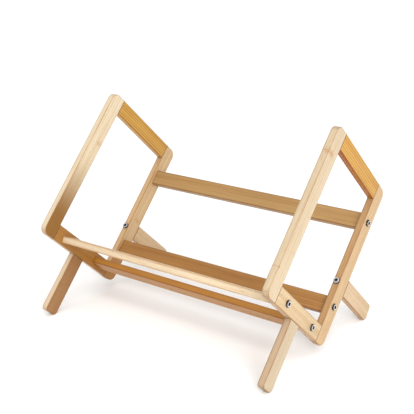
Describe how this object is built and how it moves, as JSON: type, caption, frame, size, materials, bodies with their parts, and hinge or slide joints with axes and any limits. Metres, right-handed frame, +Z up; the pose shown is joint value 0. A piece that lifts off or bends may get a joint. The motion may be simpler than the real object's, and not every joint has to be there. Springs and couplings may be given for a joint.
{
  "type": "photo album stand",
  "caption": "Tilted desktop stand of bamboo slats: rectangular end frames joined by flat rails into a V-shaped cradle for albums, on short splayed legs.",
  "frame": {"origin": "centre of the stand's footprint, on the surface it stands on", "axes": "+Z up, +X along the rails to the right, +Y towards the back, which is the way the albums lean"},
  "size_m": [0.3244, 0.2444, 0.2455],
  "materials": {
    "bamboo_pale": "satin clear lacquer over pale bamboo",
    "bamboo_tan": "satin clear lacquer over tan bamboo",
    "bamboo_amber": "satin clear lacquer over striped amber bamboo",
    "nickel": "bright nickel plate",
    "brass": "turned brass",
    "dowel_wood": "bare beech"
  },
  "bodies": {
    "root": {"left_front_upright": "bamboo_pale", "left_bottom_bar": "bamboo_pale", "left_front_leg": "bamboo_pale", "left_rear_leg": "bamboo_pale", "right_front_upright": "bamboo_pale", "right_bottom_bar": "bamboo_pale", "right_front_leg": "bamboo_pale", "right_rear_leg": "bamboo_pale", "front_seat_rail": "bamboo_pale", "left_rear_upright": "bamboo_tan", "right_rear_upright": "bamboo_tan", "rear_seat_rail": "bamboo_tan", "lower_back_rail": "bamboo_tan", "upper_back_rail": "bamboo_tan", "left_top_bar": "bamboo_amber", "right_top_bar": "bamboo_amber", "rail_screws": "nickel", "leg_bolts": "nickel", "rail_insert_nuts": "brass", "leg_insert_nuts": "brass", "corner_dowels": "dowel_wood"}
  },
  "joints": []
}
